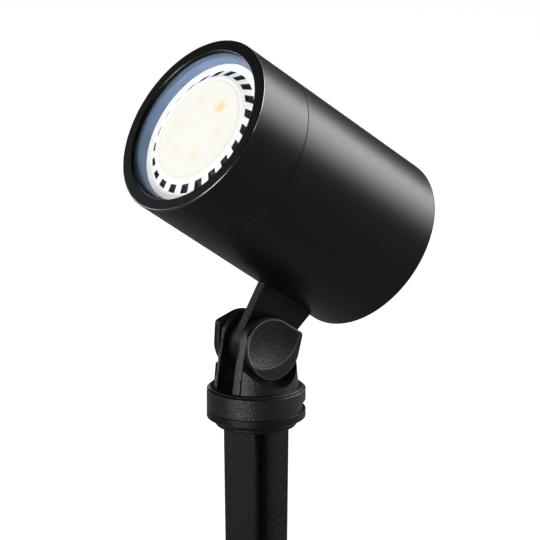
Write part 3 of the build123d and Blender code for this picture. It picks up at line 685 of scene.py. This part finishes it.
def make_camera():
    """Long-lens camera at the photograph's turn and rise round the object."""
    level = cos(CAMERA_RISE)
    back = np.array((sin(CAMERA_TURN) * level, -cos(CAMERA_TURN) * level, sin(CAMERA_RISE)))
    right = np.array((cos(CAMERA_TURN), sin(CAMERA_TURN), 0.0))
    up = np.cross(back, right)
    place = np.array(CAMERA_TARGET) + back * CAMERA_DISTANCE + right * CAMERA_ASIDE + up * CAMERA_UP
    lens = bpy.data.cameras.new("photo_camera")
    lens.lens = LENS_MM
    lens.sensor_width = SENSOR_MM
    camera = bpy.data.objects.new("photo_camera", lens)
    turn = Matrix((right, up, back)).transposed().to_4x4()
    camera.matrix_world = Matrix.Translation(place) @ turn
    bpy.context.scene.collection.objects.link(camera)
    return camera


class SpotlightSizes(bpy.types.PropertyGroup):
    """Sizes of edges and small forms that the dressed pieces add."""

    edge_round: length("Edge rounding", "Radius on the front ring's outer front edge", 0.5)
    seam_round: length("Seam rounding", "Radius on each side of the seam between ring and barrel", 0.14)
    seam_gap: length("Seam gap", "Open line between ring and barrel", 0.12)
    rear_round: length("Rear rounding", "Radius on the barrel's rear edge", 1.0)
    lip_round: length("Lip rounding", "Radius on the edges of the lens opening", 0.18)
    vent_depth: length("Vent depth", "Depth of the vent slots", 1.6)
    vent_inset: length("Vent inset", "Plain band between the diffuser and the vent slots", 1.1)
    vent_margin: length("Vent margin", "Plain band between the vent slots and the lamp's outer rim", 0.3)
    vent_rise: length("Vent rise", "How far the vents' band rises towards the diffuser", 2.3)
    vent_recess: length("Vent recess", "How far the foot of the vents' band lies behind the lamp's rim", 0.3)
    rim_round: length("Rim rounding", "Bevel on the edges of the lamp's rim", 0.17)
    rim_width: length("Rim width", "Width of the lamp's plain outer rim", 2.4)
    # The faint ring line is painted shade of a shallow groove
    opal_shade_ring: length("Diffuser ring", "Radius of the faint ring line near the diffuser's edge", 17.6)
    opal_line: length("Diffuser line", "Half width of the faint ring line", 0.45)


class SpotlightColours(bpy.types.PropertyGroup):
    """Colours of the spotlight's finishes."""

    coat_dark: colour("Coat, dark", "Darker tone of the powder coat", "#060708")
    coat_light: colour("Coat, light", "Lighter tone of the powder coat", "#0A0C0D")
    nylon_dark: colour("Nylon, dark", "Darker tone of the moulded nylon", "#060708")
    nylon_light: colour("Nylon, light", "Lighter tone of the moulded nylon", "#0E1011")
    # Tone of worn edges and of the highlight painted on the knobs' ridges
    nylon_worn_and_highlit: colour("Nylon, rubbed", "Nylon on edges that are handled", "#6A6D70")
    silicone_dark: colour("Silicone, dark", "Darker tone of the lens gasket", "#5F7896")
    silicone_light: colour("Silicone, light", "Lighter tone of the lens gasket", "#8CA5C4")
    # The rim's white is also the colour of its painted glow
    lamp_white: colour("Lamp white", "White of the lamp's rim", "#F6F6F4")
    lamp_white_dim: colour("Lamp white, dim", "Duller white of the lamp's rim", "#EDEDEC")
    # Painted shade inside the vent slots, in two tones
    vent_shade_dark: colour("Vent, dark", "Darker tone inside the vent slots", "#34333E")
    vent_shade_light: colour("Vent, light", "Lighter tone inside the vent slots", "#54535E")
    opal: colour("Diffuser", "Lit diffuser", "#FFFDF4")
    opal_warm: colour("Diffuser, warm", "Lit diffuser over the light chips", "#FFDF9C")
    opal_skin: colour("Diffuser, skin", "Diffuser's own tone under its glow", "#6C6C6A")
    # Tone of the painted shade ring in the diffuser's glow
    opal_shade_ring: colour("Diffuser, ring", "Faint ring near the diffuser's edge", "#E9DDD4")
    floor: colour("Floor", "Pale floor", "#949492")


class SPOTLIGHT_OT_front_ring(bpy.types.Operator):
    """Front ring: flat lip, tapered lens opening and a plain skirt over the neck"""

    bl_idname = "spotlight.front_ring"
    bl_label = "Front ring"

    def execute(self, context):
        sizes = context.scene.spotlight_sizes
        bezel = head_extent("front_bezel")
        glass = head_extent("lens_glass")
        lip_depth = glass.front - RING_CLEARANCE
        skirt_r = glass.outer + RING_CLEARANCE
        corners = [(bezel.inner + LIP_TAPER, 0), (bezel.outer, 0), (bezel.outer, bezel.back),
                   (skirt_r, bezel.back), (skirt_r, lip_depth), (bezel.inner, lip_depth)]
        radii = [sizes.lip_round, sizes.edge_round, sizes.seam_round,
                 sizes.seam_round, sizes.lip_round, sizes.lip_round]
        outline = rounded_outline(corners, radii)
        ring = dress(turned("front_ring", *outline), "bezel", "powder_coat", powder_coat(), "front_bezel")
        # The coat runs thin and bright over the two front edges
        ring.data.materials.append(powder_coat("powder_coat_over_an_edge", gloss=1.0, rough=0.16, index=1.9))
        bright = np.zeros((len(outline[0]), COLUMNS), np.int32)
        bright[:ARC_STEPS - 1] = 1
        bright[ARC_STEPS:2 * ARC_STEPS - 1] = 1
        ring.data.polygons.foreach_set("material_index", bright.ravel())
        return {"FINISHED"}


class SPOTLIGHT_OT_barrel(bpy.types.Operator):
    """Barrel: round cup with a soft rear edge, a seam edge and a neck under the front ring"""

    bl_idname = "spotlight.barrel"
    bl_label = "Barrel"

    def execute(self, context):
        sizes = context.scene.spotlight_sizes
        cup = head_extent("rear_housing")
        front = head_extent("front_bezel").back + sizes.seam_gap
        neck_r = head_extent("lens_glass").outer
        hole_r = head_extent("gland_locknut").inner
        neck_inner = neck_r - NECK_WALL
        inner_r = cup.outer - BARREL_WALL
        root = front + NECK_ROOT
        inside = cup.back - REAR_WALL
        small = sizes.seam_round
        corners = [(neck_r, cup.front), (neck_r, front), (cup.outer, front), (cup.outer, cup.back),
                   (hole_r, cup.back), (hole_r, inside), (inner_r, inside), (inner_r, root),
                   (neck_inner, root), (neck_inner, cup.front)]
        radii = [small, small, small, sizes.rear_round, small, small, small, small, small, small]
        outline = rounded_outline(corners, radii)
        dress(turned("barrel", *outline), "head", "powder_coat", powder_coat(), "rear_housing")
        return {"FINISHED"}


class SPOTLIGHT_OT_lens(bpy.types.Operator):
    """Lens and its gasket: a flat glass disc with ground edges and a soft ring round the lamp"""

    bl_idname = "spotlight.lens"
    bl_label = "Lens and gasket"

    def execute(self, context):
        glass = head_extent("lens_glass")
        corners = [(0, glass.front), (glass.outer, glass.front), (glass.outer, glass.back), (0, glass.back)]
        outline = rounded_outline(corners, [GLASS_EDGE, GLASS_EDGE], closed=False)
        disc = turned("lens_disc", *outline, closed=False)
        dress(disc, "lens_carrier", "lens", clear_glass(), "lens_glass")
        soft = head_extent("lens_gasket")
        corners = [(soft.inner, soft.front), (soft.outer, soft.front), (soft.outer, soft.back),
                   (soft.inner, soft.back)]
        outline = rounded_outline(corners, [GASKET_ROUND, GASKET_EDGE, GASKET_EDGE, GASKET_EDGE])
        dress(turned("gasket_ring", *outline), "lens_carrier", "silicone", silicone(), "lens_gasket")
        return {"FINISHED"}


class SPOTLIGHT_OT_lamp(bpy.types.Operator):
    """Lamp front: white rim with a sunk band of vent slots round a lit opal cap"""

    bl_idname = "spotlight.lamp"
    bl_label = "Lamp front"

    def execute(self, context):
        rim = vented_rim(context.scene.spotlight_sizes)
        # The white rim carries a painted glow
        dress(rim, "head", "lamp_white", white_plastic(), "lamp_front_ring")
        # The rim's second material paints shade into its vent slots
        rim.data.materials.append(vent_shadow())
        cap = head_extent("lamp_diffuser")
        face_r = cap.outer - OPAL_STEP
        step = cap.front + OPAL_STEP_DEPTH
        corners = [(0, cap.front), (face_r, cap.front), (face_r, step), (cap.outer, step),
                   (cap.outer, cap.back), (0, cap.back)]
        outline = rounded_outline(corners, [OPAL_EDGE] * 4, closed=False)
        opal = turned("opal_cap", *outline, closed=False)
        dress(opal, "head", "diffuser", lit_opal(), "lamp_diffuser")
        return {"FINISHED"}


class SPOTLIGHT_OT_knobs(bpy.types.Operator):
    """Clamp knob and far cap: lugged rounds with a thumb scoop and soft edges"""

    bl_idname = "spotlight.knobs"
    bl_label = "Clamp knob and cap"

    def execute(self, context):
        near = thumb_knob("thumb_knob", "clamp_knob", 1, NEAR_TURN, NEAR_FLOOR)
        dress(near, "clamp", "black_nylon", grained_nylon(), "clamp_knob")
        far = thumb_knob("far_cap", "nut_knob", -1, FAR_TURN, FAR_FLOOR, FAR_GROOVE)
        dress(far, "fork", "black_nylon", grained_nylon(), "nut_knob")
        return {"FINISHED"}


class SPOTLIGHT_OT_finishes(bpy.types.Operator):
    """Finishes of the solids that keep their own shape"""

    bl_idname = "spotlight.finishes"
    bl_label = "Finishes of the frame"

    def execute(self, context):
        coat(cast_coat(), "head_bracket")
        coat(grained_nylon(), "fork_bracket", "gland_body", "gland_nut", "gland_locknut", "tilt_washers")
        # The stake comes from a smoother mould and is duller than the fork
        coat(grained_nylon("moulded_nylon_stake", gloss=0.26, relief=0.4), "ground_spike")
        # The lamp's base takes the same painted glow
        coat(white_plastic(), "lamp_base")
        for *recipe, nodes in METALS:
            coat(bare_metal(*recipe), *nodes)
        for *recipe, nodes in PLAIN_BODIES:
            coat(plain_body(*recipe), *nodes)
        return {"FINISHED"}


class SPOTLIGHT_OT_stage(bpy.types.Operator):
    """Pale floor, soft studio lamps and the camera at the photograph's angle"""

    bl_idname = "spotlight.stage"
    bl_label = "Stage"

    def execute(self, context):
        scene = context.scene
        scene.view_settings.view_transform = "Standard"
        make_floor()
        make_world(scene)
        for settings in SOFTBOXES:
            soft_box(*settings)
        scene.camera = make_camera()
        return {"FINISHED"}


PIECES = (
    SPOTLIGHT_OT_front_ring,
    SPOTLIGHT_OT_barrel,
    SPOTLIGHT_OT_lens,
    SPOTLIGHT_OT_lamp,
    SPOTLIGHT_OT_knobs,
    SPOTLIGHT_OT_finishes,
    SPOTLIGHT_OT_stage,
)


class SPOTLIGHT_PT_panel(bpy.types.Panel):
    """Lists the spotlight's pieces, sizes and colours"""

    bl_idname = "SPOTLIGHT_PT_panel"
    bl_label = "Garden spotlight"
    bl_space_type = "VIEW_3D"
    bl_region_type = "UI"
    bl_category = "Spotlight"

    def draw(self, context):
        for piece in PIECES:
            self.layout.operator(piece.bl_idname)
        for group in (context.scene.spotlight_sizes, context.scene.spotlight_colours):
            box = self.layout.box()
            for name in group.__annotations__:
                box.prop(group, name)


CLASSES = (SpotlightSizes, SpotlightColours, *PIECES, SPOTLIGHT_PT_panel)


def register():
    for cls in CLASSES:
        bpy.utils.register_class(cls)
    bpy.types.Scene.spotlight_sizes = bpy.props.PointerProperty(type=SpotlightSizes)
    bpy.types.Scene.spotlight_colours = bpy.props.PointerProperty(type=SpotlightColours)


def unregister():
    del bpy.types.Scene.spotlight_colours
    del bpy.types.Scene.spotlight_sizes
    for cls in reversed(CLASSES):
        bpy.utils.unregister_class(cls)


def main():
    """Registers the add-on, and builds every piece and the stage."""
    register()
    bpy.ops.spotlight.front_ring()
    bpy.ops.spotlight.barrel()
    bpy.ops.spotlight.lens()
    bpy.ops.spotlight.lamp()
    bpy.ops.spotlight.knobs()
    bpy.ops.spotlight.finishes()
    bpy.ops.spotlight.stage()


if __name__ == "__main__":
    main()
